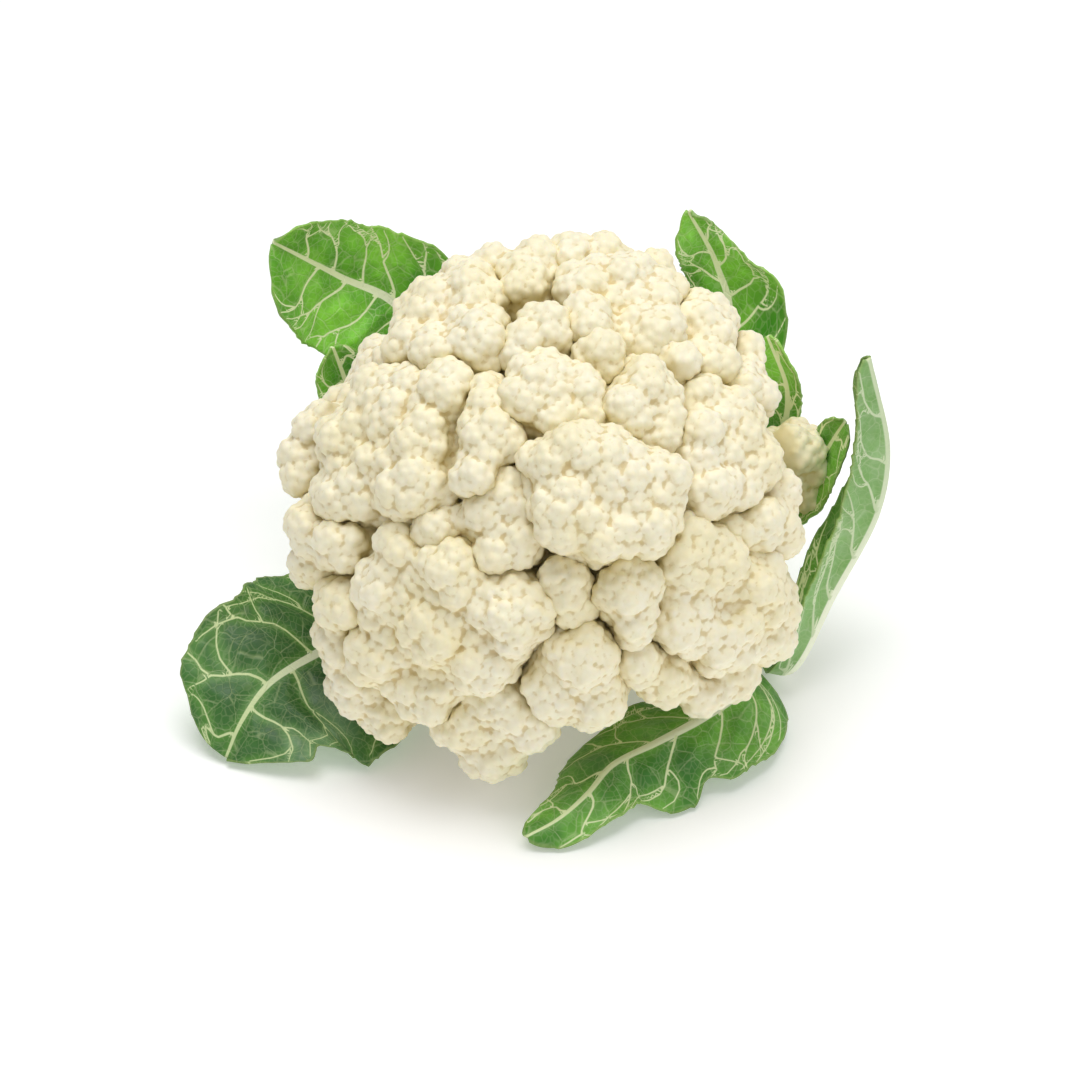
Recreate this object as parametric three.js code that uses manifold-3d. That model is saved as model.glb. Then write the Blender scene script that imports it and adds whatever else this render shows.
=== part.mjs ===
// A cauliflower: a curd of branching florets on a thick cut stem, with its wrapper leaves.
// Millimetres, +Z up. The origin is the middle of the stem's slanting knife cut, which lies on
// the table. +X is right and +Y is away, as seen from the side where the curd shows.

import * as THREE from 'three';
import { mergeVertices } from 'three/addons/utils/BufferGeometryUtils.js';
import Module from 'manifold-3d';

const wasm = await Module();
wasm.setup();

// Driving dimensions
const CURD_RADIUS = 88; // of the dome that the florets fill
const CHART_RIM = 93; // radius on the chart at which the dome falls away to nothing
const CHART_SCALE = 0.97; // a lump's place on the curd to its place on the chart
const DOME_POWER = 0.6; // lower is a flatter dome with a steeper rim
const STEM_LENGTH = 57; // from the cut to the point where the florets branch
const BRANCH_DEPTH = 25; // from the curd's centre back to the branching point
const STEM_LEAN = 35; // degrees from upright, towards the viewer
const CHART_TILT = 20; // degrees between the stem's axis and the axis the florets are charted on
const GAP = 0.3; // between neighbouring pieces
const STEM_PROFILE = [[0, -80], [18, -80], [19, -45], [22, -20], [26, 0], [22, 14], [12, 23], [0, 26]];
const STEM_SIDES = 20;
const STALK_FILL = 0.95; // share of a lump's angular radius that its stalk takes
const STALK_SIDES = 5;
const FACET_SWELL = 1.14; // keeps a faceted lump as large as the round one
const CLEAR_APART = 0.03; // radians between two lumps that can't touch
const LEAF_ROOT = 14; // from the stem's axis to the start of a midrib, inside the stem
const PETIOLE_HALF = 6.5; // half width of a leaf stalk at its root
const PETIOLE_THICK = 6; // at the root, under the midrib
const PETIOLE_EDGE = 0.4; // share of that thickness left at the edges
const PETIOLE_TAPER = 1.5; // power by which it thins towards the tip
const BLADE_THICK = 1.2;
const TIP_HALF = 1.5;
const TIP_FROM = 0.86; // share of the blade at which its end starts to round off
const LEAF_STEPS = 16;
const LEAF_STRIPS = 4;

const CURD_COLOUR = 0xe8e0c2;
const STEM_COLOUR = 0xd9dcb6;
const LEAF_COLOUR = 0x4f8a34;

const rad = THREE.MathUtils.degToRad;

// The curd's group stands at the branching point, with its own z along the chart's axis.
const stemDirection = new THREE.Vector3(0, -Math.sin(rad(STEM_LEAN)), Math.cos(rad(STEM_LEAN)));
const curd = new THREE.Group();
curd.position.copy(stemDirection).multiplyScalar(STEM_LENGTH);
curd.rotation.x = rad(STEM_LEAN + CHART_TILT);
curd.updateMatrix();
const toCurd = curd.matrix.clone().invert();
const axisInCurd = stemDirection.clone().transformDirection(toCurd);
const curdCentre = axisInCurd.clone().multiplyScalar(BRANCH_DEPTH);
const tableNormal = new THREE.Vector3(0, 0, 1).transformDirection(toCurd);
const tableOffset = -curd.position.z;

// Solids
function solidOf(geometry) {
  geometry.deleteAttribute('normal');
  geometry.deleteAttribute('uv');
  const merged = mergeVertices(geometry, 1e-4);
  const corners = merged.index.array;
  const triangles = [];
  for (let i = 0; i < corners.length; i += 3) {
    const [a, b, c] = [corners[i], corners[i + 1], corners[i + 2]];
    if (a !== b && b !== c && c !== a) triangles.push(a, b, c);
  }
  return new wasm.Manifold(new wasm.Mesh({
    numProp: 3,
    vertProperties: new Float32Array(merged.attributes.position.array),
    triVerts: new Uint32Array(triangles),
  }));
}

function geometryOf(solid) {
  const mesh = solid.getMesh();
  const geometry = new THREE.BufferGeometry();
  geometry.setAttribute('position', new THREE.BufferAttribute(mesh.vertProperties, 3));
  geometry.setIndex(new THREE.BufferAttribute(mesh.triVerts, 1));
  geometry.computeVertexNormals();
  return geometry;
}

function largestBody(solid) {
  return solid.decompose().reduce((kept, body) => (body.volume() > kept.volume() ? body : kept));
}

function named(name, solid, colour, roughness) {
  const material = new THREE.MeshStandardMaterial({ color: colour, roughness, metalness: 0 });
  const mesh = new THREE.Mesh(geometryOf(solid), material);
  mesh.name = name;
  return mesh;
}

// Stem: a turned core that swells under the curd, cut off level with the table.
function stemSolid(growth) {
  const profile = STEM_PROFILE.map(([radius, along]) => {
    const outward = along < 0 ? 0 : growth;
    return new THREE.Vector2(radius > 0 ? radius + growth : 0, along + outward);
  });
  const lathe = new THREE.LatheGeometry(profile, STEM_SIDES);
  const latheAxis = new THREE.Vector3(0, 1, 0);
  lathe.applyQuaternion(new THREE.Quaternion().setFromUnitVectors(latheAxis, axisInCurd));
  return solidOf(lathe);
}

const stem = stemSolid(0).trimByPlane(tableNormal.toArray(), tableOffset);
const stemClearance = stemSolid(GAP);

// Florets: right, up and radius of each lump on the chart, seen along its axis, from the curd's centre,
// and how low it lies where it fills a hollow between larger lumps. proud lifts a floret's lumps above
// the dome, and depth places them at a set height instead.
const FLORETS = [
  { name: 'crown', proud: 8, lumps: [
    [20, 10, 16], [5, -2, 12.5], [32, -4, 13], [18, -9, 10.5], [37, 9, 10], [10, 19, 10], [0, 12, 11, 4]] },
  { name: 'inner_left', proud: 2, lumps: [[-18, 23, 11], [-22, 9, 9.5], [-20, 36, 9, 5]] },
  { name: 'left_upper', proud: 1, lumps: [
    [-43, 6, 14], [-40, 21, 10], [-50, 29, 12.5], [-32, 38, 11.5], [-53, 38, 10.5], [-64, 22, 12.5],
    [-65, 4, 12.5], [-55, 15, 11, 4], [-44, 41, 10, 4]] },
  { name: 'left_outer', proud: 0, lumps: [[-80, 17, 10.5], [-75, 27, 9.5], [-81, 8, 8]] },
  { name: 'left_lower_outer', proud: 0, lumps: [[-75, -7, 12.5], [-78, -19, 9], [-67, -12, 12]] },
  { name: 'upper_left', proud: 0, lumps: [
    [-37, 65, 12.5], [-22, 54, 12.5], [-25, 69, 12.5], [-44, 52, 10.5], [-35, 48, 10]] },
  { name: 'top_left', proud: 0, lumps: [[-17, 79, 8.5], [-28, 76, 8.5], [-7, 74, 10], [-2, 81, 9]] },
  { name: 'apex_top', proud: 0, lumps: [[1, 57, 10.5], [-10, 52, 9, 4]] },
  { name: 'apex_low', proud: 0, lumps: [[0, 39, 13], [5, 28, 8], [-10, 34, 9], [13, 41, 8], [16, 30, 8, 4]] },
  { name: 'apex_small', proud: -1, lumps: [[19, 49, 9]] },
  { name: 'apex_right', proud: 1, lumps: [[33, 38, 12.5], [40, 28, 9], [25, 31, 9], [35, 24, 8, 4]] },
  { name: 'upper_mid', proud: 0, lumps: [
    [25, 73, 13], [35, 56, 12.5], [13, 61, 9], [12, 73, 10], [38, 69, 11.5]] },
  { name: 'top_mid', proud: 0, lumps: [[18, 82, 10], [8, 83, 9.5], [29, 82, 9.5], [37, 78, 9]] },
  { name: 'upper_right', proud: 0, lumps: [[52, 59, 13], [48, 73, 11.5], [42, 46, 10], [57, 46, 9]] },
  { name: 'right_outer', proud: 0, lumps: [[68, 51, 11], [72, 38, 10], [63, 41, 8]] },
  { name: 'right_mid', proud: 2, lumps: [
    [60, 28, 12.5], [67, 14, 12.5], [53, 6, 12], [48, 24, 7.5], [65, 4, 9], [50, 36, 9, 5],
    [54, 17, 10, 4]] },
  { name: 'right_low', proud: 0, lumps: [[78, 3, 10.5], [80, -9, 10], [70, -4, 10], [62, -9, 9, 4]] },
  { name: 'right_far', depth: -20, lumps: [[85, 19, 12.5], [90, 6, 10.5]] },
  { name: 'lower_right', proud: 0, lumps: [
    [55, -17, 12.5], [68, -27, 14], [58, -41, 14], [45, -39, 10.5], [73, -41, 11.5], [45, -17, 10],
    [78, -31, 8.5], [48, -6, 7], [45, -28, 9, 4]] },
  { name: 'lower_mid', proud: 0, lumps: [[27, -27, 12], [29, -39, 9]] },
  { name: 'recess_low', proud: -5, lumps: [[7, -24, 8.5], [10, -36, 8]] },
  { name: 'bottom_mid', proud: 1, lumps: [[12, -49, 14], [15, -61, 13], [2, -61, 10.5]] },
  { name: 'recess_left', proud: -6, lumps: [
    [-18, -2, 10], [-8, -11, 10], [-36, -7, 10], [-17, -15, 9], [-10, 4, 10]] },
  { name: 'lower_left', proud: 0, lumps: [
    [-30, -21, 13], [-10, -34, 14], [-35, -39, 14], [-20, -52, 12], [-53, -27, 12.5], [-55, -47, 13],
    [-38, -61, 12.5], [-48, -12, 9], [-43, -26, 10, 4]] },
  { name: 'lower_left_outer', proud: 0, lumps: [
    [-65, -31, 11.5], [-66, -45, 11.5], [-62, -58, 11.5], [-53, -68, 11]] },
  { name: 'bottom', proud: 0, lumps: [
    [-17, -79, 12.5], [-5, -72, 10.5], [-28, -71, 10.5], [-14, -64, 11, 4]] },
  { name: 'bottom_right', proud: 0, lumps: [[40, -57, 10], [52, -61, 9], [63, -56, 8.5], [31, -52, 9, 3]] },
];

// The far rim of the curd: florets in an arc round the stem's axis, behind the charted ones.
const RIM_COUNT = 7;
const RIM_LUMP = 14.5;
const RIM_REACH = 0.92; // share of the dome's radius that they come out to
const RIM_POLAR = 92; // degrees from the stem's axis at the two ends of the arc
const RIM_RISE = 14; // degrees nearer to the axis at the middle of the arc
const RIM_SPREAD = [[-8, -9, 1], [8, -9, 1], [0, 9, 0.93]]; // degrees round, degrees back, size

function lumpAt(centre, radius) {
  const away = centre.length();
  const angle = Math.asin(radius / away);
  return { centre, radius, away, angle, direction: centre.clone().normalize() };
}

function chartedLumps({ proud, depth, lumps }) {
  return lumps.map(([right, up, radius, low = 0]) => {
    const fall = Math.max(0, 1 - (right ** 2 + up ** 2) / CHART_RIM ** 2) ** DOME_POWER;
    const toward = depth ?? (CURD_RADIUS - radius + proud - low) * fall;
    const centre = new THREE.Vector3(right * CHART_SCALE, up * CHART_SCALE, toward).add(curdCentre);
    const sunk = tableOffset + radius - centre.dot(tableNormal);
    centre.z += Math.max(0, sunk) / tableNormal.z;
    return lumpAt(centre, radius);
  });
}

function rimLumps(index) {
  const turn = (180 * index) / (RIM_COUNT - 1);
  const polar = RIM_POLAR - RIM_RISE * Math.sin(rad(turn));
  return RIM_SPREAD.map(([round, back, size]) => {
    const across = Math.sin(rad(polar + back));
    const radius = RIM_LUMP * size;
    const spot = new THREE.Vector3(
      across * Math.cos(rad(turn + round)),
      across * Math.sin(rad(turn + round)),
      Math.cos(rad(polar + back)),
    );
    spot.applyAxisAngle(new THREE.Vector3(1, 0, 0), -rad(CHART_TILT));
    return lumpAt(spot.multiplyScalar(CURD_RADIUS * RIM_REACH - radius).add(curdCentre), radius);
  });
}

// A lump with its stalk, which runs back to the branching point at the group's origin.
function lumpSolid({ centre, radius, away, angle, direction }) {
  const ball = new THREE.OctahedronGeometry(radius * FACET_SWELL, 1);
  ball.translate(centre.x, centre.y, centre.z);
  const stalk = new THREE.ConeGeometry(away * Math.tan(angle * STALK_FILL), away, STALK_SIDES);
  stalk.translate(0, -away / 2, 0);
  const down = new THREE.Vector3(0, -1, 0);
  stalk.applyQuaternion(new THREE.Quaternion().setFromUnitVectors(down, direction));
  return solidOf(ball).add(solidOf(stalk));
}

// Two lumps of different florets meet on a plane through the branching point.
function trimBetween(solid, lump, other) {
  const apart = lump.direction.angleTo(other.direction);
  if (apart > lump.angle + other.angle + CLEAR_APART) return solid;
  const normal = lump.direction.clone().divideScalar(Math.cos(lump.angle));
  normal.addScaledVector(other.direction, -1 / Math.cos(other.angle)).normalize();
  return solid.trimByPlane(normal.toArray(), GAP / 2);
}

function floretSolid(floret, others) {
  let joined = null;
  for (const lump of floret) {
    const piece = others.reduce((solid, other) => trimBetween(solid, lump, other), lumpSolid(lump));
    joined = joined ? joined.add(piece) : piece;
  }
  return joined.subtract(stemClearance);
}

// Leaves: each midrib starts in the stem, at an angle round it (0 is right, 90 is back) and a height
// along it, and passes through its points to the tip. faces gives the upper side's direction at even
// steps from base to tip. half gives the half widths of the two sides at even steps of the blade, which
// starts at the share bladeFrom of the length. fold and cup are the degrees that each side turns up,
// at the midrib and from there to the margin.
const LEAVES = [
  { name: 'leaf_right', angle: 8, height: 11, bladeFrom: 0.42,
    half: [[7, 12, 17, 19, 17, 9], [6, 10, 12, 13, 11, 6]], fold: [70, 8], cup: [20, 12],
    faces: [[0, 0, 1], [-0.4, 0.3, 0.5], [-0.6, 0.75, 0.1], [-0.6, 0.75, 0]],
    midrib: [[50, -6, 8], [75, -36, 6], [82, -58, 11], [95, -50, 34], [110, -44, 64], [113, -40, 86],
      [106, -37, 120]] },
  { name: 'leaf_front', angle: -52, height: 19, bladeFrom: 0.38,
    half: [[14, 22, 25, 23, 17, 11, 7], [7, 16, 22, 22, 17, 12, 10]], fold: [-24, -22], cup: [0, 0],
    faces: [[0.2, -0.2, 0.95], [0.1, -0.15, 0.98]],
    midrib: [[36, -39, 11], [60, -62, 15], [64, -82, 18], [52, -99, 19], [37, -111, 18], [22, -121, 16],
      [14, -132, 13], [4, -141, 9], [-6, -146, 6]] },
  { name: 'leaf_right_inner', angle: 22, height: 28, bladeFrom: 0.35,
    half: [[7, 8, 9, 9, 8, 6], [7, 11, 14, 14, 12, 8]], fold: [8, 8], cup: [14, 14],
    faces: [[-0.2, -0.2, 0.95], [-0.6, -0.65, 0.45]],
    midrib: [[48, 0, 24], [84, -16, 52], [100, -27, 88]] },
  { name: 'leaf_right_back', angle: 50, height: 16, bladeFrom: 0.35,
    half: [[7, 9, 9, 9, 8, 6], [7, 7, 6, 5, 5, 4]], fold: [6, 6], cup: [12, 12],
    faces: [[-0.2, -0.3, 0.9], [-0.45, -0.8, 0.35]],
    midrib: [[46, 17, 26], [78, 4, 58], [82, -2, 84], [75, 3, 103]] },
  { name: 'leaf_back_right', angle: 76, height: 30, bladeFrom: 0.35,
    half: [[10, 16, 17, 14, 11, 7], [10, 20, 24, 21, 8, 6]], fold: [6, 6], cup: [12, 12],
    faces: [[-0.2, -0.5, 0.8], [-0.2, -0.9, 0.35]],
    midrib: [[32, 40, 50], [63, 43, 84], [59, 47, 104], [49, 42, 128]] },
  { name: 'leaf_back', angle: 100, height: 12, bladeFrom: 0.35,
    half: [[9, 18, 22, 22, 18, 11], [9, 18, 22, 22, 18, 11]], fold: [6, 6], cup: [14, 14],
    faces: [[0, -0.8, 0.6], [0, -0.98, 0.2]],
    midrib: [[-3, 40, 22], [-9, 58, 54], [-11, 58, 86]] },
  { name: 'leaf_back_left', angle: 130, height: 27, bladeFrom: 0.35,
    half: [[10, 22, 30, 30, 24, 14], [10, 18, 23, 22, 17, 12]], fold: [6, 6], cup: [12, 12],
    faces: [[0.2, -0.5, 0.8], [0.1, -0.9, 0.42]],
    midrib: [[-32, 34, 44], [-50, 44, 88], [-70, 42, 102], [-92, 32, 122]] },
  { name: 'leaf_small_left', angle: 157, height: 13, bladeFrom: 0.4,
    half: [[7, 12, 14, 14, 11, 7], [7, 12, 14, 14, 11, 7]], fold: [6, 6], cup: [12, 12],
    faces: [[0.4, -0.5, 0.75], [0.3, -0.85, 0.4]],
    midrib: [[-44, 8, 28], [-64, 14, 66], [-72, 13, 92]] },
  { name: 'leaf_left', angle: 205, height: 21, bladeFrom: 0.3,
    half: [[7, 26, 40, 42, 34, 16], [14, 28, 34, 32, 26, 15]], fold: [-4, 12], cup: [-14, 8],
    faces: [[0, 0.1, 0.97], [-0.2, -0.45, 0.8], [-0.3, -0.5, 0.75]],
    midrib: [[-48, -32, 15], [-76, -67, 22], [-92, -82, 20], [-101, -94, 13], [-106, -100, 3]] },
];

function midribCurve({ angle, height, midrib }) {
  const across = new THREE.Vector3(1, 0, 0).multiplyScalar(LEAF_ROOT * Math.cos(rad(angle)));
  const backward = stemDirection.clone().cross(new THREE.Vector3(1, 0, 0));
  const root = stemDirection.clone().multiplyScalar(height).add(across);
  root.addScaledVector(backward, LEAF_ROOT * Math.sin(rad(angle)));
  return new THREE.CatmullRomCurve3([root, ...midrib.map((point) => new THREE.Vector3(...point))]);
}

function faceAt(faces, along) {
  const place = along * (faces.length - 1);
  const first = Math.min(Math.floor(place), faces.length - 2);
  return faces[first].clone().lerp(faces[first + 1], place - first);
}

function bladeHalf(widths, share, opened) {
  const rounding = Math.max(0, (share - TIP_FROM) / (1 - TIP_FROM));
  const half = widths.getPoint(share).y * Math.sqrt(1 - rounding ** 2);
  return Math.max(TIP_HALF, THREE.MathUtils.lerp(PETIOLE_HALF, half, opened));
}

function leafSolid(leaf, growth) {
  const curve = midribCurve(leaf);
  const faces = leaf.faces.map((face) => new THREE.Vector3(...face).normalize());
  const outlines = leaf.half.map((side) => (
    new THREE.SplineCurve(side.map((width, step) => new THREE.Vector2(step, width)))));
  const sheet = new THREE.BoxGeometry(2, 2, 1, LEAF_STRIPS, 1, LEAF_STEPS);
  const place = sheet.attributes.position;
  for (let i = 0; i < place.count; i += 1) {
    const across = place.getX(i);
    const along = place.getZ(i) + 0.5;
    const half = across > 0 ? 0 : 1;
    const sign = Math.sign(across);
    const tangent = curve.getTangentAt(along);
    const face = faceAt(faces, along);
    face.addScaledVector(tangent, -face.dot(tangent)).normalize();
    const side = face.clone().cross(tangent).multiplyScalar(sign);
    const share = Math.max(0, (along - leaf.bladeFrom) / (1 - leaf.bladeFrom));
    const opened = Math.min(1, along / leaf.bladeFrom);
    const turn = rad(leaf.fold[half] + (leaf.cup[half] * Math.abs(across)) / 2) * opened * Math.abs(sign);
    const reach = Math.abs(across) * (bladeHalf(outlines[half], share, opened) + growth);
    const petiole = (1 - along) ** PETIOLE_TAPER * (1 - Math.abs(across) * (1 - PETIOLE_EDGE));
    const thick = BLADE_THICK / 2 + growth + (place.getY(i) < 0 ? petiole * PETIOLE_THICK : 0);
    const rise = place.getY(i) * thick;
    const point = curve.getPointAt(along);
    point.addScaledVector(side, reach * Math.cos(turn) - rise * Math.sin(turn));
    point.addScaledVector(face, reach * Math.sin(turn) + rise * Math.cos(turn));
    place.setXYZ(i, point.x, point.y, point.z);
  }
  return solidOf(sheet);
}

// Assembly
const cauliflower = new THREE.Group();
cauliflower.add(curd);
curd.add(named('stem', stem, STEM_COLOUR, 0.6));

const stemOnTable = stemClearance.transform(curd.matrix.toArray());
const inCurd = toCurd.toArray();
const leafClearances = [];
for (const leaf of LEAVES) {
  const solid = largestBody(leafSolid(leaf, 0).subtract(stemOnTable));
  cauliflower.add(named(leaf.name, solid, LEAF_COLOUR, 0.5));
  leafClearances.push(leafSolid(leaf, GAP).transform(inCurd));
}

const heads = FLORETS.map((floret) => ({ name: `floret_${floret.name}`, lumps: chartedLumps(floret) }));
for (let i = 0; i < RIM_COUNT; i += 1) {
  heads.push({ name: `floret_rim_${i + 1}`, lumps: rimLumps(i) });
}
for (const head of heads) {
  const others = heads.filter((other) => other !== head).flatMap((other) => other.lumps);
  const whole = floretSolid(head.lumps, others);
  const clear = leafClearances.reduce((solid, leaf) => solid.subtract(leaf), whole);
  curd.add(named(head.name, largestBody(clear), CURD_COLOUR, 0.7));
}

export default cauliflower;
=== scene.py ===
import math

import bpy
import numpy as np
from mathutils import Matrix, Vector


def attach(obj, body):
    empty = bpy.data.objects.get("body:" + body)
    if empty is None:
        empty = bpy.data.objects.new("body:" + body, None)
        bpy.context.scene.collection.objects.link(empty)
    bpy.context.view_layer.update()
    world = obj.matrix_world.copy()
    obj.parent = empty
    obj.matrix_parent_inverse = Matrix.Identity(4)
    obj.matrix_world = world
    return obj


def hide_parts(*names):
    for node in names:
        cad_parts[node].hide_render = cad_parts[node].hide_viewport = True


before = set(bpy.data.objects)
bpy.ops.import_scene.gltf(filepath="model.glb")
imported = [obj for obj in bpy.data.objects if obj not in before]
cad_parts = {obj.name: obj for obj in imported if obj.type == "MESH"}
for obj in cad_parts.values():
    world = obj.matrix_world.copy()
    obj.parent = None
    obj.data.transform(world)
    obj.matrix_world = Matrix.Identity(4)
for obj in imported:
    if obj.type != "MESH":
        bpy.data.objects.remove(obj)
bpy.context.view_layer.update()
mm = 0.001

# the head as it grew: the stem leans to the viewer and the florets branch from one point on it
head = {"stemLean": 35, "stemLength": 57 * mm, "centreBeyondBranch": 25 * mm}
lean = math.radians(head["stemLean"])
stemAxis = Vector((0, -math.sin(lean), math.cos(lean)))
branchPoint = stemAxis * head["stemLength"]
curdCentre = stemAxis * (head["stemLength"] + head["centreBeyondBranch"])


# node wiring: a socket that takes part in sums, and makes any other node
class Wire:
    def __init__(self, tree, made=None, output=None):
        self.tree = tree
        self.made = made
        self.output = output

    def socket(self):
        if self.output is None:
            return next(s for s in self.made.outputs if not s.is_unavailable)
        return self.made.outputs[self.output]

    def out(self, name):
        return Wire(self.tree, self.made, name)

    def put(self, kind, settings=None, values=None, output=None):
        made = self.tree.nodes.new(kind)
        for key, value in (settings or {}).items():
            setattr(made, key, value)
        for key, value in (values or {}).items():
            self.feed(made, key, value)
        return Wire(self.tree, made, output)

    def feed(self, made, key, value):
        if isinstance(key, int):
            target = made.inputs[key]
        else:
            target = next(s for s in made.inputs if s.name == key and not s.is_unavailable)
        for item in value if isinstance(value, list) else [value]:
            if isinstance(item, Wire):
                self.tree.links.new(item.socket(), target)
            elif isinstance(item, tuple) and target.type == "RGBA":
                target.default_value = (*item, 1.0)
            else:
                target.default_value = item

    def sum(self, operation, first, second):
        return self.put("ShaderNodeMath", {"operation": operation}, {0: first, 1: second})

    def vector(self, operation, first, second):
        return self.put("ShaderNodeVectorMath", {"operation": operation}, {0: first, 1: second})

    def __add__(self, other):
        return self.sum("ADD", self, other)

    def __radd__(self, other):
        return self.sum("ADD", other, self)

    def __sub__(self, other):
        return self.sum("SUBTRACT", self, other)

    def __rsub__(self, other):
        return self.sum("SUBTRACT", other, self)

    def __mul__(self, other):
        return self.sum("MULTIPLY", self, other)

    def __rmul__(self, other):
        return self.sum("MULTIPLY", other, self)

    def __gt__(self, other):
        return self.sum("GREATER_THAN", self, other)

    def between(self, low, high):
        return self.put("ShaderNodeMapRange", {"interpolation_type": "SMOOTHSTEP"},
                        {"Value": self, "From Min": low, "From Max": high})

    def blend(self, first, second):
        return self.put("ShaderNodeMix", {"data_type": "RGBA"}, {"Factor": self, "A": first, "B": second})


def tint(red, green, blue):
    # colours are noted as on screen, 0 to 255, and handed to the shader as light
    parts = [value / 255 for value in (red, green, blue)]
    return tuple(p / 12.92 if p <= 0.04045 else ((p + 0.055) / 1.055) ** 2.4 for p in parts)


def newMaterial(name):
    material = bpy.data.materials.new(name)
    material.use_nodes = True
    tree = material.node_tree
    tree.nodes.clear()
    wire = Wire(tree)
    skin = wire.put("ShaderNodeBsdfPrincipled")
    wire.put("ShaderNodeOutputMaterial", {}, {"Surface": skin})
    return material, wire, skin.made


def objectNoise(wire, size, detail=3.0):
    place = wire.put("ShaderNodeTexCoord").out("Object")
    return wire.put("ShaderNodeTexNoise", {}, {"Vector": place, "Scale": 1 / size, "Detail": detail})


def surfaceValue(wire, name):
    return wire.put("ShaderNodeAttribute", {"attribute_name": name}, {}, "Fac")


# working on pieces
def work(piece):
    bpy.ops.object.select_all(action="DESELECT")
    piece.select_set(True)
    bpy.context.view_layer.objects.active = piece


def finishWith(piece, kind, **settings):
    modifier = piece.modifiers.new(kind.lower(), kind)
    for key, value in settings.items():
        setattr(modifier, key, value)
    work(piece)
    bpy.ops.object.modifier_apply(modifier=modifier.name)


def copyOfNode(node, name):
    piece = bpy.data.objects.new(name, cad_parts[node].data.copy())
    bpy.context.scene.collection.objects.link(piece)
    piece.data.materials.clear()
    work(piece)
    bpy.ops.object.mode_set(mode="EDIT")
    bpy.ops.mesh.select_all(action="SELECT")
    bpy.ops.mesh.remove_doubles(threshold=1e-6)
    bpy.ops.object.mode_set(mode="OBJECT")
    return piece


def cover(piece, *materials):
    piece.data.materials.clear()
    for material in materials:
        piece.data.materials.append(material)


def place(piece, node, slot):
    work(piece)
    bpy.ops.object.shade_smooth()
    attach(piece, "root")
    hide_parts(node)


# curd: every floret is its branch, covered in clusters and the clusters in buds
curd = {
    "swell": 3.0 * mm,            # closes the creases between a floret's lumps
    "settle": 4.2 * mm,           # takes that back, with room for the clusters and buds
    "lumpVoxel": 1.4 * mm,
    "lumpSmoothing": 10,
    "capFrom": 55 * mm,           # from the branching point, where the fine surface starts
    "stalkInto": 3 * mm,          # how far the plain stalk goes on inside it
    "stalkVoxel": 2.2 * mm,
    "stalkSmoothing": 6,
    "backing": 0.92,              # the share of the way out where the creases between florets end
    "cluster": {"spacing": 7.8 * mm, "radius": 5.9 * mm, "spread": 0.18, "sink": 3.8 * mm, "facets": 3},
    "clusterVoxel": 0.9 * mm,
    "clusterSmoothing": 2,
    "growFrom": -0.1,             # clusters and buds grow where the surface faces outwards at least so much
    "crowding": 5,                # tries for each place, which the spacing then thins out
    "bud": {"spacing": 3.0 * mm, "radius": 2.25 * mm, "spread": 0.1, "sink": 1.2 * mm, "facets": 3},
    "budVoxel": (0.71 * mm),
    "budSmoothing": 0.35,
    "grainSize": 1.3 * mm,
    "grainHeight": 0.1 * mm,
    "fineRounds": 3,              # rounds of blur that find the creases between buds
    "deepRounds": 38,             # and those between clusters and florets
}


def geometryTree(name):
    tree = bpy.data.node_groups.new(name, "GeometryNodeTree")
    for way in ("INPUT", "OUTPUT"):
        tree.interface.new_socket("Geometry", in_out=way, socket_type="NodeSocketGeometry")
    wire = Wire(tree)
    return tree, wire, wire.put("NodeGroupInput")


def awayFromBranch(wire):
    ray = wire.vector("SUBTRACT", wire.put("GeometryNodeInputPosition"), tuple(branchPoint))
    return wire.put("ShaderNodeVectorMath", {"operation": "NORMALIZE"}, {0: ray})


def scatterTree(name, knob):
    tree, wire, surface = geometryTree(name)
    normal = wire.put("GeometryNodeInputNormal")
    facing = wire.vector("DOT_PRODUCT", normal, awayFromBranch(wire)).out("Value")
    points = wire.put("GeometryNodeDistributePointsOnFaces", {"distribute_method": "POISSON"}, {
        "Mesh": surface, "Selection": facing > curd["growFrom"],
        "Distance Min": knob["spacing"], "Density Max": curd["crowding"] / knob["spacing"] ** 2})
    inward = wire.put("ShaderNodeVectorMath", {"operation": "SCALE"},
                      {0: points.out("Normal"), "Scale": -knob["sink"]})
    sunk = wire.put("GeometryNodeSetPosition", {}, {"Geometry": points.out("Points"), "Offset": inward})
    ball = wire.put("GeometryNodeMeshIcoSphere", {},
                    {"Radius": knob["radius"], "Subdivisions": knob["facets"]})
    size = wire.put("FunctionNodeRandomValue", {"data_type": "FLOAT"},
                    {"Min": 1 - knob["spread"], "Max": 1 + knob["spread"]})
    spread = wire.put("GeometryNodeInstanceOnPoints", {}, {"Points": sunk, "Instance": ball, "Scale": size})
    real = wire.put("GeometryNodeRealizeInstances", {}, {"Geometry": spread})
    joined = wire.put("GeometryNodeJoinGeometry", {}, {"Geometry": [surface, real]})
    wire.put("NodeGroupOutput", {}, {"Geometry": joined})
    return tree, points.made


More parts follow.
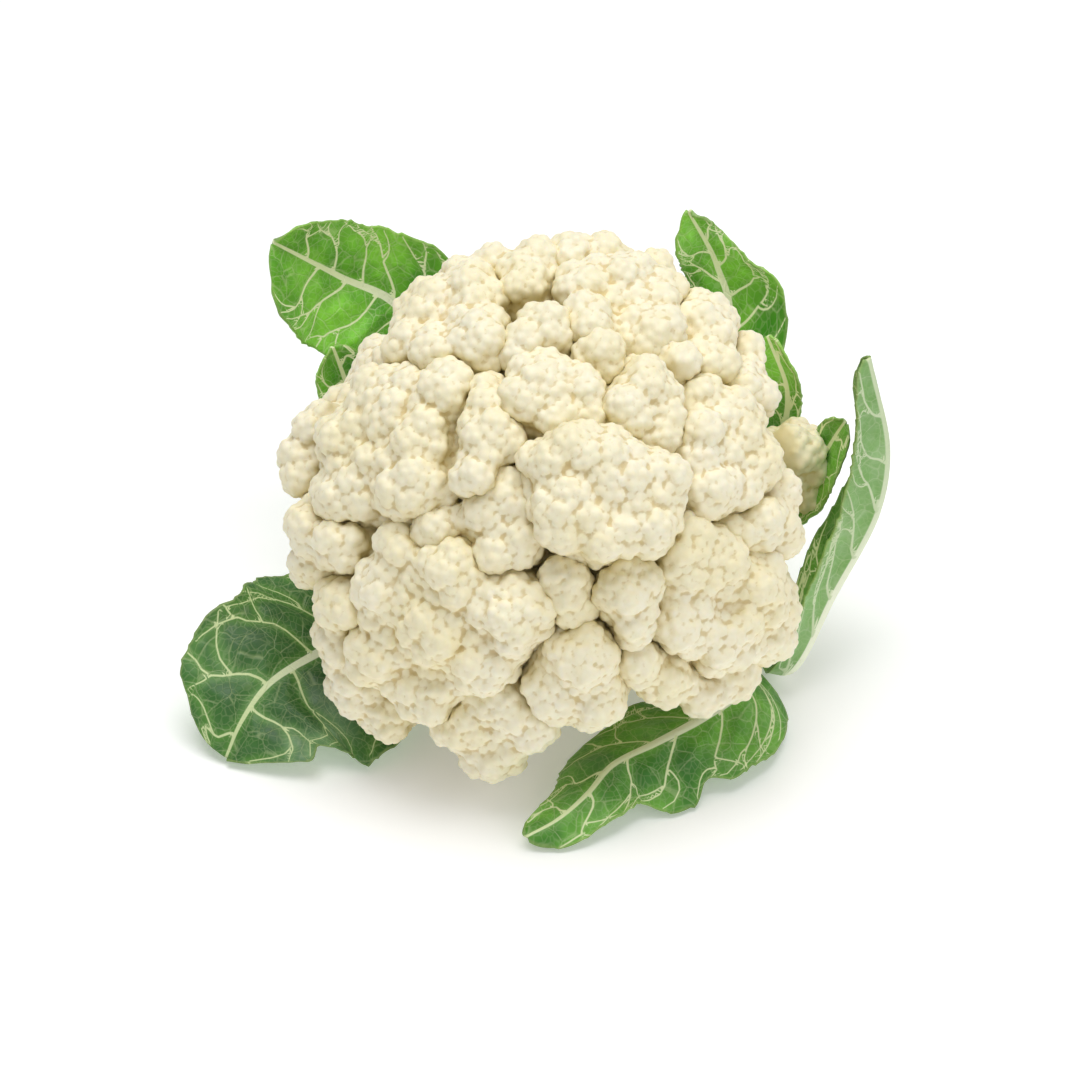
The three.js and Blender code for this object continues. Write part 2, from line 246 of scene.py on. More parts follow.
# crease depths and outward facing, stored on the surface as masks for the painted shade in the curd's colour
def creaseTree():
    tree, wire, surface = geometryTree("curdCreases")
    position = wire.put("GeometryNodeInputPosition")
    normal = wire.put("GeometryNodeInputNormal")
    marked = surface
    for name, rounds in (("fineCrease", curd["fineRounds"]), ("deepCrease", curd["deepRounds"])):
        blurred = wire.put("GeometryNodeBlurAttribute", {"data_type": "FLOAT_VECTOR"},
                           {"Value": position, "Iterations": rounds})
        hollow = wire.vector("DOT_PRODUCT", wire.vector("SUBTRACT", blurred, position), normal).out("Value")
        marked = wire.put("GeometryNodeStoreNamedAttribute", {"data_type": "FLOAT", "domain": "POINT"},
                          {"Geometry": marked, "Name": name, "Value": hollow * (1 / mm)})
    smoothNormal = wire.put("GeometryNodeBlurAttribute", {"data_type": "FLOAT_VECTOR"},
                            {"Value": normal, "Iterations": curd["deepRounds"] // 3})
    facing = wire.vector("DOT_PRODUCT", smoothNormal, awayFromBranch(wire)).out("Value")
    marked = wire.put("GeometryNodeStoreNamedAttribute", {"data_type": "FLOAT", "domain": "POINT"},
                      {"Geometry": marked, "Name": "outward", "Value": facing})
    wire.put("NodeGroupOutput", {}, {"Geometry": marked})
    return tree


def settleTree():
    # takes a closed surface in by an even depth
    tree, wire, surface = geometryTree("curdSettle")
    fog = wire.put("GeometryNodeMeshToVolume", {"resolution_mode": "VOXEL_SIZE"}, {
        "Mesh": surface, "Density": 1.0, "Voxel Size": curd["lumpVoxel"],
        "Interior Band Width": 2 * curd["settle"]})
    taken = wire.put("GeometryNodeVolumeToMesh", {"resolution_mode": "GRID"},
                     {"Volume": fog, "Threshold": 0.5})
    wire.put("NodeGroupOutput", {}, {"Geometry": taken})
    return tree


def curdMaterial():
    material, wire, skin = newMaterial("curdFlesh")
    # painted shade: the crease depths and the flanks that face away from the branch darken the curd's colour
    # below
    fine = surfaceValue(wire, "fineCrease").between(0.02, 0.16)
    deep = surfaceValue(wire, "deepCrease").between(0.3, 1.8)
    side = 1 - surfaceValue(wire, "outward").between(-0.2, 0.75)
    patches = objectNoise(wire, 26 * mm).between(0.35, 0.7)
    mottle = objectNoise(wire, 3.2 * mm, 4.0).between(0.3, 0.75)
    fleshAndPaintedShade = patches.blend(tint(252, 245, 220), tint(249, 240, 204))
    fleshAndPaintedShade = (mottle * 0.4).blend(fleshAndPaintedShade, tint(240, 228, 186))
    # painted shade: darker tan in the fine creases between buds
    fleshAndPaintedShade = (fine * 0.6).blend(fleshAndPaintedShade, tint(206, 182, 116))
    # painted shade: darker tan deep in the creases between clusters and florets
    fleshAndPaintedShade = (deep * 0.6).blend(fleshAndPaintedShade, tint(210, 178, 104))
    # painted shade: yellow-green darkening on the floret flanks that face away from the branch
    fleshAndPaintedShade = (side * 0.6).blend(fleshAndPaintedShade, tint(198, 180, 108))
    # brown specks only in the deep creases: partly the curd's own spots, partly painted shade
    specks = objectNoise(wire, 1.1 * mm, 1.0).between(0.7, 0.78)
    fleshAndPaintedShade = (specks * deep * 0.7).blend(fleshAndPaintedShade, tint(132, 98, 56))
    wire.feed(skin, "Base Color", fleshAndPaintedShade)
    wire.feed(skin, "Roughness", 0.52 + mottle * 0.14)
    grain = objectNoise(wire, 0.55 * mm, 2.0)
    wire.feed(skin, "Normal", wire.put("ShaderNodeBump", {}, {
        "Strength": 0.25, "Distance": 0.12 * mm, "Height": grain.out("Fac")}))
    skin.inputs["Subsurface Weight"].default_value = 0.2
    skin.inputs["Subsurface Radius"].default_value = (1.0, 0.75, 0.4)
    skin.inputs["Subsurface Scale"].default_value = 0.9 * mm
    skin.inputs["Specular IOR Level"].default_value = 0.35
    return material


def roundOff(piece, settle):
    finishWith(piece, "REMESH", mode="VOXEL", voxel_size=curd["lumpVoxel"])
    finishWith(piece, "DISPLACE", strength=curd["swell"], mid_level=0.0)
    finishWith(piece, "REMESH", mode="VOXEL", voxel_size=curd["lumpVoxel"])
    finishWith(piece, "NODES", node_group=settle)
    finishWith(piece, "SMOOTH", factor=0.5, iterations=curd["lumpSmoothing"])


def cutAcross(piece, deep, keepStalk):
    places = np.array([v.co for v in piece.data.vertices])
    rays = places - np.array(branchPoint)
    reach = np.linalg.norm(rays, axis=1)
    middle = Vector(rays[reach > curd["capFrom"]].mean(axis=0)).normalized()
    work(piece)
    bpy.ops.object.mode_set(mode="EDIT")
    bpy.ops.mesh.select_all(action="SELECT")
    bpy.ops.mesh.bisect(plane_co=branchPoint + middle * deep, plane_no=middle, use_fill=True,
                        clear_inner=not keepStalk, clear_outer=keepStalk)
    bpy.ops.object.mode_set(mode="OBJECT")


def backUp(piece, node):
    backing = copyOfNode(node, piece.name + "_backing")
    cutAcross(backing, curd["capFrom"], False)
    bpy.ops.object.mode_set(mode="EDIT")
    bpy.ops.mesh.select_all(action="SELECT")
    bpy.ops.mesh.convex_hull()
    bpy.ops.object.mode_set(mode="OBJECT")
    backing.data.transform(Matrix.Translation(branchPoint) @ Matrix.Scale(curd["backing"], 4)
                           @ Matrix.Translation(-branchPoint))
    work(piece)
    backing.select_set(True)
    bpy.ops.object.join()


def makeFlorets():
    clusterTree, clusterPoints = scatterTree("curdClusters", curd["cluster"])
    budTree, budPoints = scatterTree("curdBuds", curd["bud"])
    creases = creaseTree()
    settle = settleTree()
    grain = bpy.data.textures.new("budGrain", "VORONOI")
    grain.noise_scale = curd["grainSize"]
    grain.distance_metric = "DISTANCE_SQUARED"
    fleshAndPaintedShade = curdMaterial()
    names = sorted(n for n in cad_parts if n.startswith("floret_"))
    faces = 0
    for index, node in enumerate(names):
        name = node.replace("floret_", "curd_")
        stalk = copyOfNode(node, name + "_stalk")
        cutAcross(stalk, curd["capFrom"] + curd["stalkInto"], True)
        finishWith(stalk, "REMESH", mode="VOXEL", voxel_size=curd["stalkVoxel"])
        finishWith(stalk, "SMOOTH", factor=0.5, iterations=curd["stalkSmoothing"])
        piece = copyOfNode(node, name)
        cutAcross(piece, curd["capFrom"], False)
        roundOff(piece, settle)
        backUp(piece, node)
        clusterPoints.inputs["Seed"].default_value = index
        finishWith(piece, "NODES", node_group=clusterTree)
        finishWith(piece, "REMESH", mode="VOXEL", voxel_size=curd["clusterVoxel"])
        finishWith(piece, "SMOOTH", factor=0.5, iterations=curd["clusterSmoothing"])
        budPoints.inputs["Seed"].default_value = 100 + index
        finishWith(piece, "NODES", node_group=budTree)
        finishWith(piece, "REMESH", mode="VOXEL", voxel_size=curd["budVoxel"])
        finishWith(piece, "SMOOTH", factor=curd["budSmoothing"], iterations=1)
        finishWith(piece, "DISPLACE", texture=grain, texture_coords="LOCAL",
                   strength=-curd["grainHeight"], mid_level=0.3)
        work(piece)
        stalk.select_set(True)
        bpy.ops.object.join()
        finishWith(piece, "NODES", node_group=creases)
        cover(piece, fleshAndPaintedShade)
        place(piece, node, "curd")
        faces += len(piece.data.polygons)
    print("curd:", len(names), "florets", faces, "faces")


makeFlorets()


# leaves: midribs as they grow from the stem, in mm, from a root at an angle round it and a height along it
# half widths of the two sides at even steps of the blade, and the upper side's direction from base to tip
blade = {
    "root": 14, "petioleHalf": 6.5, "petioleThick": 8.0, "thick": 0.7, "step": 0.9,
    "tipHalf": 1.0, "tipFrom": 0.86, "openOver": 0.15,
    "lobes": 0.04, "lobeTurns": 27, "smallLobeTurns": 61,
    "teeth": 0.9, "toothCount": 33,
    "pucker": 1.5, "puckerReach": 4.5, "bendOver": 5.0,
    "rufflePower": 2.5, "flatMargin": 6,          # how close to the margin ruffles start and puckers end
    "coreHalf": (1.5, 6.0), "corePower": 1.5,     # of the thick core at the tip, and added at the root
    "thinPower": 1.6,
}
veins = {
    "spacing": 17, "firstBefore": 0.05, "lastAt": 0.86, "lean": 0.22, "unevenLean": 0.25, "sway": 0.2,
    "rib": (3.4, 0.45), "ribPower": 1.15,
    "side": (0.42, 0.12), "fork": (0.22, 0.09),   # half widths from start to end
    "forks": ((-0.5, 0.4), (0.42, 0.6)),          # how far each turns, and where from
    "relief": 0.5, "reliefReach": 0.7,
}
leaves = {
    "leaf_right": {
        "angle": 8, "height": 11, "bladeFrom": 0.42, "fold": (70, 8), "cup": (20, 12),
        "half": ((7, 12, 17, 19, 17, 9), (6, 10, 12, 13, 11, 6)),
        "faces": ((0, 0, 1), (-0.4, 0.3, 0.5), (-0.6, 0.75, 0.1), (-0.6, 0.75, 0)),
        "midrib": ((50, -6, 8), (75, -36, 6), (82, -58, 11), (95, -50, 34), (110, -44, 64), (113, -40, 86),
                   (106, -37, 120)),
        "ruffle": 1.2, "waves": 3.3, "tone": 0.6},
    "leaf_front": {
        "angle": -52, "height": 19, "bladeFrom": 0.38, "fold": (-24, -22), "cup": (0, 0),
        "half": ((14, 22, 25, 23, 17, 11, 7), (7, 16, 22, 22, 17, 12, 10)),
        "faces": ((0.2, -0.2, 0.95), (0.1, -0.15, 0.98)),
        "midrib": ((36, -39, 11), (60, -62, 15), (64, -82, 18), (52, -99, 19), (37, -111, 18), (22, -121, 16),
                   (14, -132, 13), (4, -141, 9), (-6, -146, 6)),
        "bites": ((1, 0.42, 7, 0.045),), "ruffle": 2.5, "waves": 3.6, "tone": 0.5},
    "leaf_right_inner": {
        "angle": 22, "height": 28, "bladeFrom": 0.35, "fold": (8, 8), "cup": (14, 14),
        "half": ((7, 8, 9, 9, 8, 6), (7, 11, 14, 14, 12, 8)),
        "faces": ((-0.2, -0.2, 0.95), (-0.6, -0.65, 0.45)),
        "midrib": ((48, 0, 24), (84, -16, 52), (100, -27, 88)),
        "ruffle": 1.5, "waves": 4.0, "tone": 0.3},
    "leaf_right_back": {
        "angle": 50, "height": 16, "bladeFrom": 0.35, "fold": (6, 6), "cup": (12, 12),
        "half": ((7, 9, 9, 9, 8, 6), (7, 7, 6, 5, 5, 4)),
        "faces": ((-0.2, -0.3, 0.9), (-0.45, -0.8, 0.35)),
        "midrib": ((46, 17, 26), (78, 4, 58), (82, -2, 84), (75, 3, 103)),
        "ruffle": 1.2, "waves": 3.7, "tone": 0.1},
    "leaf_back_right": {
        "angle": 76, "height": 30, "bladeFrom": 0.35, "fold": (6, 6), "cup": (12, 12),
        "half": ((10, 16, 17, 14, 11, 7), (10, 20, 24, 21, 8, 6)),
        "faces": ((-0.2, -0.5, 0.8), (-0.2, -0.9, 0.35)),
        "midrib": ((32, 40, 50), (63, 43, 84), (59, 47, 104), (49, 42, 128)),
        "veinSpacing": 12, "ruffle": 3.0, "waves": 4.4, "tone": 0.0},
    "leaf_back": {
        "angle": 100, "height": 12, "bladeFrom": 0.35, "fold": (6, 6), "cup": (14, 14),
        "half": ((9, 18, 22, 22, 18, 11), (9, 18, 22, 22, 18, 11)),
        "faces": ((0, -0.8, 0.6), (0, -0.98, 0.2)),
        "midrib": ((-3, 40, 22), (-9, 58, 54), (-11, 58, 86)),
        "ruffle": 2.0, "waves": 3.9, "tone": 0.4},
    "leaf_back_left": {
        "angle": 130, "height": 27, "bladeFrom": 0.35, "fold": (6, 6), "cup": (12, 12),
        "half": ((10, 22, 30, 30, 24, 14), (10, 18, 23, 22, 17, 12)),
        "faces": ((0.2, -0.5, 0.8), (0.1, -0.9, 0.42)),
        "midrib": ((-32, 34, 44), (-50, 44, 88), (-70, 42, 102), (-92, 32, 122)),
        "veinSpacing": 12, "ruffle": 2.2, "waves": 3.4, "tone": 0.0},
    "leaf_small_left": {
        "angle": 157, "height": 13, "bladeFrom": 0.4, "fold": (6, 6), "cup": (12, 12),
        "half": ((7, 12, 14, 14, 11, 7), (7, 12, 14, 14, 11, 7)),
        "faces": ((0.4, -0.5, 0.75), (0.3, -0.85, 0.4)),
        "midrib": ((-44, 8, 28), (-64, 14, 66), (-72, 13, 92)),
        "ruffle": 1.5, "waves": 5.0, "tone": 0.0},
    "leaf_left": {
        "angle": 205, "height": 21, "bladeFrom": 0.3, "fold": (-4, 12), "cup": (-14, 8),
        "half": ((7, 26, 40, 42, 34, 16), (14, 28, 34, 32, 26, 15)),
        "faces": ((0, 0.1, 0.97), (-0.2, -0.45, 0.8), (-0.3, -0.5, 0.75)),
        "midrib": ((-48, -32, 15), (-76, -67, 22), (-92, -82, 20), (-101, -94, 13), (-106, -100, 3)),
        "bites": ((1, 0.8, 7, 0.045),), "ruffle": 2.2, "waves": 3.2, "tone": 1.0},
}


def unit(rows):
    return rows / np.linalg.norm(rows, axis=-1, keepdims=True)


def smoothThrough(points, perSpan=60):
    # a centripetal Catmull-Rom curve, as even steps along its length
    ends = [2 * points[0] - points[1], *points, 2 * points[-1] - points[-2]]
    track = []
    for p0, p1, p2, p3 in zip(ends, ends[1:], ends[2:], ends[3:]):
        d0, d1, d2 = (max(np.linalg.norm(b - a), 1e-9) ** 0.5 for a, b in ((p0, p1), (p1, p2), (p2, p3)))
        t1 = d1 * ((p1 - p0) / d0 - (p2 - p0) / (d0 + d1) + (p2 - p1) / d1)
        t2 = d1 * ((p2 - p1) / d1 - (p3 - p1) / (d1 + d2) + (p3 - p2) / d2)
        q = np.linspace(0, 1, perSpan, endpoint=False)[:, None]
        bend, twist = 3 * (p2 - p1) - 2 * t1 - t2, 2 * (p1 - p2) + t1 + t2
        track.append(p1 + t1 * q + bend * q ** 2 + twist * q ** 3)
    track = np.vstack([*track, points[-1][None]])
    run = np.concatenate([[0], np.cumsum(np.linalg.norm(np.diff(track, axis=0), axis=1))])
    return track, run


def midribOf(knob):
    angle = math.radians(knob["angle"])
    backward = np.array(stemAxis.cross(Vector((1, 0, 0))))
    outward = np.array([math.cos(angle), 0, 0]) + backward * math.sin(angle)
    root = np.array(stemAxis) * knob["height"] + outward * blade["root"]
    return smoothThrough([root, *[np.array(p, float) for p in knob["midrib"]]])


def stepsAlong(values, share):
    # a smooth line through values at even steps
    padded = np.array([values[0], *values, values[-1]], float)
    spot = np.clip(share, 0, 1) * (len(values) - 1)
    first = np.minimum(spot.astype(int), len(values) - 2)
    rest = spot - first
    before, low, high, after = (padded[first + k] for k in range(4))
    start, end = (high - before) / 2, (after - low) / 2
    return (low + start * rest + (3 * (high - low) - 2 * start - end) * rest ** 2
            + (2 * (low - high) + start + end) * rest ** 3)


def bladeShare(knob, along):
    return np.clip((along - knob["bladeFrom"]) / (1 - knob["bladeFrom"]), 0, 1)


def halfWidth(knob, along, side):
    share = bladeShare(knob, along)
    opened = np.clip(along / knob["bladeFrom"], 0, 1)
    rounding = np.clip((share - blade["tipFrom"]) / (1 - blade["tipFrom"]), 0, 1)
    plain = stepsAlong(knob["half"][0 if side > 0 else 1], share) * np.sqrt(1 - rounding ** 2)
    swell = np.clip(share / blade["openOver"], 0, 1)
    lobes = np.sin(along * blade["lobeTurns"] + side * 2.1)
    lobes = lobes + 0.6 * np.sin(along * blade["smallLobeTurns"] + side)
    tooth = (along * blade["toothCount"] + side * 0.3 + 0.45 * np.sin(along * 23)) % 1.0
    plain = plain * (1 + blade["lobes"] * lobes * swell)
    tooth = blade["teeth"] * tooth ** 2 * (0.65 + 0.35 * np.sin(along * 47))
    plain = plain + tooth * swell * np.sqrt(1 - rounding)
    for biteSide, middle, deep, halfLong in knob.get("bites", ()):
        if biteSide == side:
            plain = plain - deep * np.exp(-((share - middle) / halfLong) ** 2)
    return np.maximum(blade["tipHalf"], blade["petioleHalf"] * (1 - opened) + plain * opened)


def segmentDistance(spots, start, end):
    along = end - start
    ray = spots - start
    share = np.clip((ray @ along) / max(along @ along, 1e-9), 0, 1)
    hand = np.where(along[0] * ray[:, 1] > along[1] * ray[:, 0], 1, -1)
    return np.linalg.norm(ray - share[:, None] * along, axis=1), share, hand


def veinLines(knob, length):
    # side veins in turn left and right, each with two forks that fill the room to its neighbours
    lines = []
    count = max(5, int(length * (1 - knob["bladeFrom"]) / knob.get("veinSpacing", veins["spacing"])))
    starts = np.linspace(knob["bladeFrom"] - veins["firstBefore"], veins["lastAt"], count)
    pitch = starts[1] - starts[0]
    for side in (1, -1):
        for index, start in enumerate(starts + (0.5 * pitch if side < 0 else 0)):
            across = np.linspace(0, 0.97, 9)
            sway = veins["sway"] * pitch * np.sin(across * 7 + index * 1.7 + side)
            uneven = 1 + veins["unevenLean"] * math.sin(index * 2.3 + side)
            lean = veins["lean"] * (1 - start) ** 0.6 * uneven
            along = start + lean * across ** 1.25 + sway * across
            lines.append((along, across, side, veins["side"]))
            for turn, first in veins["forks"]:
                begin = first + 0.1 * (index % 3)
                out = np.linspace(begin, 0.95, 6)
                away = turn * pitch * ((out - begin) / (0.95 - begin)) ** 0.8
                lines.append((np.interp(out, across, along) + away, out, side, veins["fork"]))
    return lines


def veinsAt(knob, along, across, width, length):
    # the nearest vein: how far off and on which side its middle is, and its half width there
    spots = np.stack([along * length, across * width], axis=-1)
    offset = across * width
    half = veins["rib"][0] * np.clip(1 - along, 0, 1) ** veins["ribPower"] + veins["rib"][1]
    for lineAlong, lineAcross, side, (firstHalf, lastHalf) in veinLines(knob, length):
        lineAlong = np.clip(lineAlong, 0, 0.985)
        reach = side * lineAcross * halfWidth(knob, lineAlong, side)
        line = np.stack([lineAlong * length, reach], axis=-1)
        for i in range(len(line) - 1):
            away, share, hand = segmentDistance(spots, line[i], line[i + 1])
            thick = firstHalf + (lastHalf - firstHalf) * (i + share) / (len(line) - 1)
            nearer = away - thick < np.abs(offset) - half
            offset = np.where(nearer, hand * away, offset)
            half = np.where(nearer, thick, half)
    return offset, half


def makeLeaf(node, knob, materials):
    track, run = midribOf(knob)
    length = run[-1]
    steps = int(length / blade["step"])
    strips = int(sum(max(side) for side in knob["half"]) / blade["step"])
    bpy.ops.object.select_all(action="DESELECT")
    bpy.ops.mesh.primitive_grid_add(x_subdivisions=steps, y_subdivisions=strips, size=2)
    piece = bpy.context.object
    piece.name = node + "_blade"
    count = len(piece.data.vertices)
    flat = np.zeros(count * 3)
    piece.data.vertices.foreach_get("co", flat)
    flat = flat.reshape(-1, 3)
    along, across = (flat[:, 0] + 1) / 2, flat[:, 1]
    rib = np.stack([np.interp(along * length, run, track[:, k]) for k in range(3)], axis=1)
    ahead = np.stack([np.interp(along * length + 0.5, run, track[:, k]) for k in range(3)], axis=1)
    behind = np.stack([np.interp(along * length - 0.5, run, track[:, k]) for k in range(3)], axis=1)
    tangent = unit(ahead - behind)
    faces = unit(np.array(knob["faces"], float))
    stations = np.linspace(0, 1, len(faces))
    face = np.stack([np.interp(along, stations, faces[:, k]) for k in range(3)], axis=1)
    face = unit(face - tangent * (face * tangent).sum(axis=1, keepdims=True))
    sideways = np.cross(face, tangent)
    width = np.where(across > 0, halfWidth(knob, along, 1), halfWidth(knob, along, -1))
    offset, half = veinsAt(knob, along, across, width, length)
    gap = np.abs(offset) - half
    spread = np.clip((along - knob["bladeFrom"]) / blade["openOver"], 0, 1)
    fold, cup = (np.where(across > 0, *knob[bend]) for bend in ("fold", "cup"))
    reach = np.abs(across) * width
    ease = np.clip(reach / blade["bendOver"], 0, 1) ** 0.5     # the halves leave the midrib in a round
    turn = np.radians(fold + cup * np.abs(across) / 2) * np.clip(along / knob["bladeFrom"], 0, 1) * ease
    wave = np.sin(2 * np.pi * knob["waves"] * along + np.sign(across) * 1.3)
    rise = reach * np.sin(turn) + knob["ruffle"] * wave * np.abs(across) ** blade["rufflePower"] * spread
    between = 1 - np.exp(-(np.maximum(gap, 0) / blade["puckerReach"]) ** 2)
    rise = rise + blade["pucker"] * between * spread * (1 - np.abs(across) ** blade["flatMargin"])
    shape = rib + sideways * (np.sign(across) * reach * np.cos(turn))[:, None] + face * rise[:, None]
    piece.data.vertices.foreach_set("co", (shape * mm).reshape(-1))
    marks = {"veinOffset": offset, "veinHalf": half, "veinGap": gap,
             "toMargin": (1 - np.abs(across)) * width, "tone": np.full(count, knob["tone"])}
    for name, values in marks.items():
        piece.data.attributes.new(name, "FLOAT", "POINT").data.foreach_set("value", values.astype(np.float32))
    plan = np.stack([along * length, across * width, np.full(count, length)], axis=1)
    piece.data.attributes.new("plan", "FLOAT_VECTOR", "POINT").data.foreach_set(
        "vector", plan.astype(np.float32).reshape(-1))
    coreHalf = blade["coreHalf"][0] + blade["coreHalf"][1] * (1 - along) ** blade["corePower"]
    core = np.exp(-(across * width / coreHalf) ** 2)
    thick = blade["thick"] + blade["petioleThick"] * (1 - along) ** blade["thinPower"] * core
    thick = thick + veins["relief"] * np.exp(-(np.maximum(gap, 0) / veins["reliefReach"]) ** 2) * spread
    greatest = thick.max()
    group = piece.vertex_groups.new(name="thickness")
    for index, value in enumerate(thick / greatest):
        group.add([index], float(value), "REPLACE")
    cover(piece, *materials)
    finishWith(piece, "SOLIDIFY", thickness=greatest * mm, offset=-1.0, vertex_group="thickness",
               material_offset=1, use_even_offset=False)
    place(piece, node, "leaf")
    return len(piece.data.polygons)


def leafMaterial(name, upper):
    material, wire, skin = newMaterial(name)
    gap = surfaceValue(wire, "veinGap")
    into = wire.sum("ABSOLUTE", surfaceValue(wire, "veinOffset"), 0.0) - surfaceValue(wire, "veinHalf")
    tone = surfaceValue(wire, "tone")
    plan = wire.put("ShaderNodeAttribute", {"attribute_name": "plan"}, {}, "Vector")
    drift = wire.put("ShaderNodeTexNoise", {}, {"Vector": plan, "Scale": 0.16, "Detail": 1.0}, "Color")
    wander = wire.put("ShaderNodeVectorMath", {"operation": "MULTIPLY_ADD"},
                      {0: drift, 1: (3, 3, 0), 2: plan})
    nets = []
    for cell, line in ((7.5, 0.04), (2.2, 0.13)):
        cells = wire.put("ShaderNodeTexVoronoi", {"feature": "DISTANCE_TO_EDGE"},
                         {"Vector": wander, "Scale": 1 / cell})
        nets.append(1 - cells.out("Distance").between(0.0, line))
    onVein = (1 - into.between(-0.12, 0.22)) * (1 - gap.between(0.35, 0.7))
    onRib = surfaceValue(wire, "veinHalf").between(0.7, 1.8)
    halo = 1 - gap.between(0.0, 3.2)
    patches = objectNoise(wire, 22 * mm).between(0.3, 0.72)
    mottle = objectNoise(wire, 4 * mm, 4.0).between(0.3, 0.72)
    if upper:
        fresh = patches.blend(tint(150, 232, 72), tint(64, 146, 24))
        blue = patches.blend(tint(72, 122, 58), tint(40, 86, 34))
        green = tone.blend(fresh, blue)
        green = (mottle * 0.3).blend(green, tint(52, 110, 30))
        green = (halo * 0.22).blend(green, tint(138, 196, 84))
        # partly the leaf's own waxy bloom, partly a painted sheen: pale blue-green patches, stronger on the
        # bluer leaves
        bloomAndSheen = objectNoise(wire, 30 * mm).between(0.45, 0.75) * tone
        green = (bloomAndSheen * 0.35).blend(green, tint(166, 198, 164))
        veinColour, netShare = tone.blend(tint(248, 255, 208), tint(216, 230, 172)), 0.2
    else:
        green = patches.blend(tint(142, 188, 112), tint(120, 168, 88))
        green = (mottle * 0.4).blend(green, tint(170, 200, 152))
        veinColour, netShare = tint(214, 228, 188), 0.25
    green = (nets[1] * 0.1).blend(green, veinColour)
    green = (nets[0] * netShare).blend(green, veinColour)
    green = (onVein * 0.92).blend(green, onRib.blend(veinColour, tint(252, 255, 230)))
    edge = 1 - surfaceValue(wire, "toMargin").between(0.2, 1.1)
    green = (edge * 0.35).blend(green, tint(170, 190, 110))
    wire.feed(skin, "Base Color", green)
    wire.feed(skin, "Roughness", (0.4 if upper else 0.55) + mottle * 0.12)
    height = nets[0] * -0.6 + nets[1] * -0.3 + objectNoise(wire, 0.9 * mm, 2.0).out("Fac") * 0.25
    wire.feed(skin, "Normal", wire.put("ShaderNodeBump", {}, {
        "Strength": 0.5, "Distance": 0.3 * mm, "Height": height}))
    skin.inputs["Specular IOR Level"].default_value = 0.4
    return material


def makeLeaves():
    materials = [leafMaterial("leafUpper", True), leafMaterial("leafUnder", False)]
    faces = sum(makeLeaf(node, knob, materials) for node, knob in leaves.items())
    print("leaves:", len(leaves), "blades", faces, "faces")


makeLeaves()


# stem: a thick ribbed stalk with a clean knife cut on the table
stem = {"voxel": 1.1 * mm, "smoothing": 6, "bumpSize": 9 * mm, "bumpHeight": 1.4 * mm, "cutHeight": 0.6 * mm}


def stemMaterial():
    material, wire, skin = newMaterial("stemFlesh")
    spot = wire.put("ShaderNodeTexCoord").out("Object")
    height = wire.put("ShaderNodeSeparateXYZ", {}, {0: spot}).out("Z")
    across = wire.put("ShaderNodeVectorMath", {"operation": "LENGTH"}, {0: spot}).out("Value")
    cut = 1 - height.between(0.3 * mm, 0.9 * mm)
    mottle = objectNoise(wire, 5 * mm, 4.0).between(0.3, 0.7)
    fibres = wire.put("ShaderNodeTexNoise", {}, {"Vector": spot, "Scale": 900.0, "Detail": 2.0})
    rind = mottle.blend(tint(206, 214, 160), tint(182, 196, 130))
    pith = across.between(6 * mm, 15 * mm).blend(tint(232, 230, 198), tint(214, 214, 166))
    ring = across.between(14 * mm, 15.5 * mm) * (1 - across.between(16 * mm, 18 * mm))
    pith = (ring * 0.7).blend(pith, tint(186, 192, 128))
    pith = (fibres.out("Fac").between(0.45, 0.7) * 0.25).blend(pith, tint(196, 190, 140))
    wire.feed(skin, "Base Color", cut.blend(rind, pith))
    wire.feed(skin, "Roughness", 0.48 + mottle * 0.15)
    wire.feed(skin, "Normal", wire.put("ShaderNodeBump", {}, {
        "Strength": 0.3, "Distance": 0.2 * mm, "Height": fibres.out("Fac")}))
    skin.inputs["Subsurface Weight"].default_value = 0.2
    skin.inputs["Subsurface Scale"].default_value = 2 * mm
    return material


def makeStem():
    piece = copyOfNode("stem", "stem_flesh")
    finishWith(piece, "REMESH", mode="VOXEL", voxel_size=stem["voxel"])
    finishWith(piece, "SMOOTH", factor=0.5, iterations=stem["smoothing"])
    bumps = bpy.data.textures.new("stemBumps", "CLOUDS")
    bumps.noise_scale = stem["bumpSize"]
    finishWith(piece, "DISPLACE", texture=bumps, texture_coords="LOCAL", strength=stem["bumpHeight"],
               mid_level=0.5)
    for vertex in piece.data.vertices:
        if vertex.co.z < stem["cutHeight"]:
            vertex.co.z = 0.0
    cover(piece, stemMaterial())
    place(piece, "stem", "stem")
    print("stem:", len(piece.data.polygons), "faces")


makeStem()


# camera at the photograph's angle, so that a millimetre at the curd's centre is three pixels of 1080
view = {"elevation": 35, "away": 1.8, "pixelsPerMm": 3.0, "imageSide": 1080, "sensor": 36.0,
        "centreAt": (545, 508)}


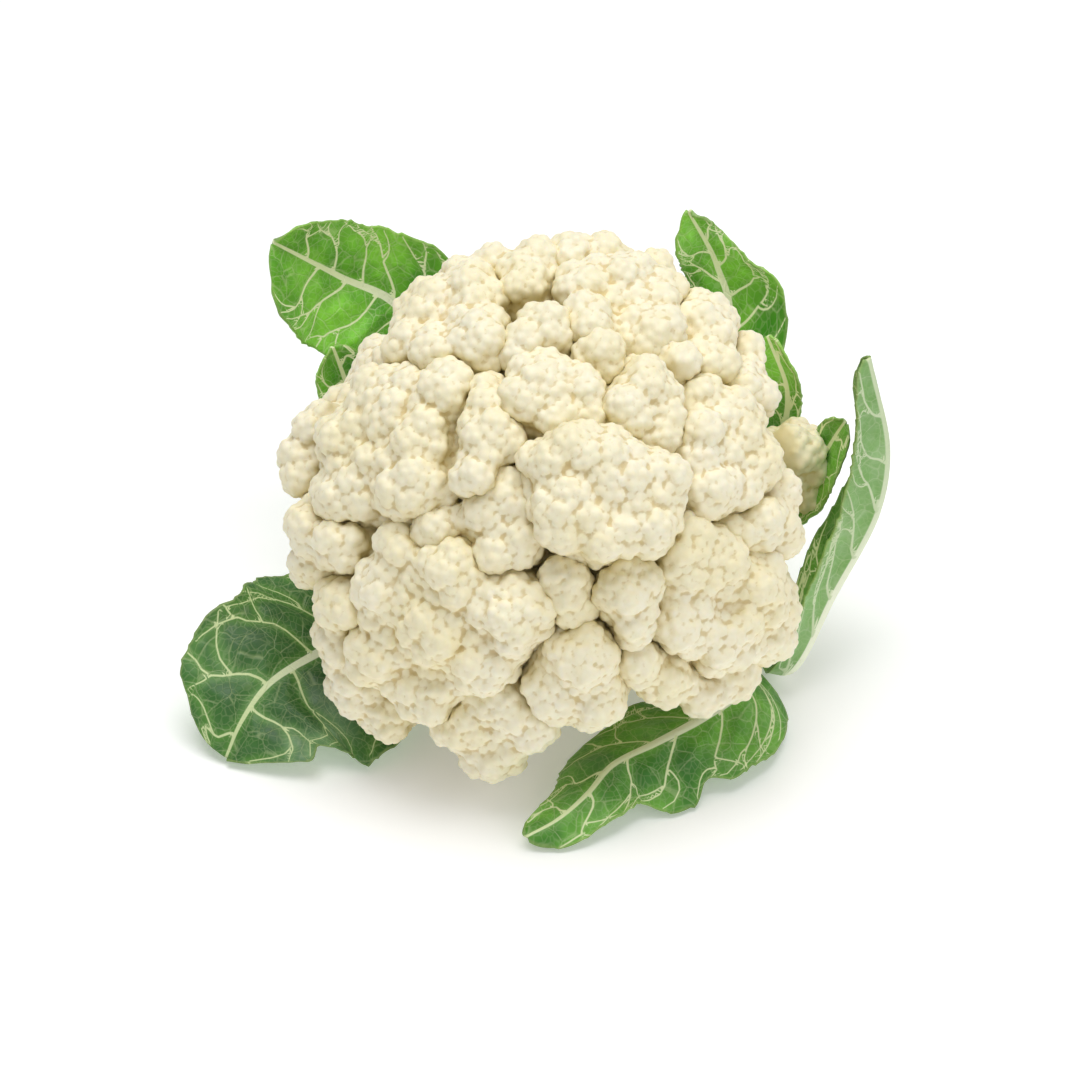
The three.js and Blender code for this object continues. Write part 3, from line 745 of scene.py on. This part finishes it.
def makeCamera():
    tilt = math.radians(view["elevation"])
    toward = Vector((0, -math.cos(tilt), math.sin(tilt)))
    up = Vector((0, math.sin(tilt), math.cos(tilt)))
    half = view["imageSide"] / 2
    acrossMm = (half - view["centreAt"][0]) / view["pixelsPerMm"]
    upMm = (view["centreAt"][1] - half) / view["pixelsPerMm"]
    aim = curdCentre + Vector((acrossMm * mm, 0, 0)) + up * (upMm * mm)
    camera = bpy.data.cameras.new("camera")
    camera.sensor_width = view["sensor"]
    camera.lens = view["pixelsPerMm"] * 1000 * view["away"] * view["sensor"] / view["imageSide"]
    stand = bpy.data.objects.new("camera", camera)
    stand.location = aim + toward * view["away"]
    stand.rotation_euler = (math.pi / 2 - tilt, 0, 0)
    bpy.context.scene.collection.objects.link(stand)
    bpy.context.scene.camera = stand


# studio: a white floor, a soft light from above and a weaker one from the right front
studio = {"floorSide": 8.0, "floorGlow": 0.2, "sky": 0.34,
          "key": {"at": (-0.05, 0.05, 1.7), "side": 1.3, "power": 20.5},
          "fill": {"at": (1.1, -1.3, 0.8), "side": 1.4, "power": 6}}


def makeStudio():
    bpy.ops.object.select_all(action="DESELECT")
    bpy.ops.mesh.primitive_plane_add(size=studio["floorSide"])
    floor = bpy.context.object
    floor.name = "floor"
    material, wire, skin = newMaterial("floorPaper")
    shade = objectNoise(wire, 0.4).between(0.2, 0.8)
    wire.feed(skin, "Base Color", shade.blend((0.93, 0.93, 0.93), (0.95, 0.95, 0.95)))
    skin.inputs["Roughness"].default_value = 0.8
    skin.inputs["Emission Color"].default_value = (1, 1, 1, 1)
    skin.inputs["Emission Strength"].default_value = studio["floorGlow"]
    floor.data.materials.append(material)
    for name in ("key", "fill"):
        knob = studio[name]
        light = bpy.data.lights.new(name, "AREA")
        light.size = knob["side"]
        light.energy = knob["power"]
        lamp = bpy.data.objects.new(name, light)
        lamp.location = knob["at"]
        lamp.rotation_euler = (curdCentre - lamp.location).to_track_quat("-Z", "Y").to_euler()
        bpy.context.scene.collection.objects.link(lamp)
    world = bpy.data.worlds.new("studioSky")
    world.use_nodes = True
    sky = world.node_tree.nodes["Background"]
    sky.inputs["Color"].default_value = (1, 1, 1, 1)
    sky.inputs["Strength"].default_value = studio["sky"]
    bpy.context.scene.world = world
    bpy.context.scene.view_settings.view_transform = "Standard"


makeCamera()
makeStudio()
print("studio: camera, floor and lights")
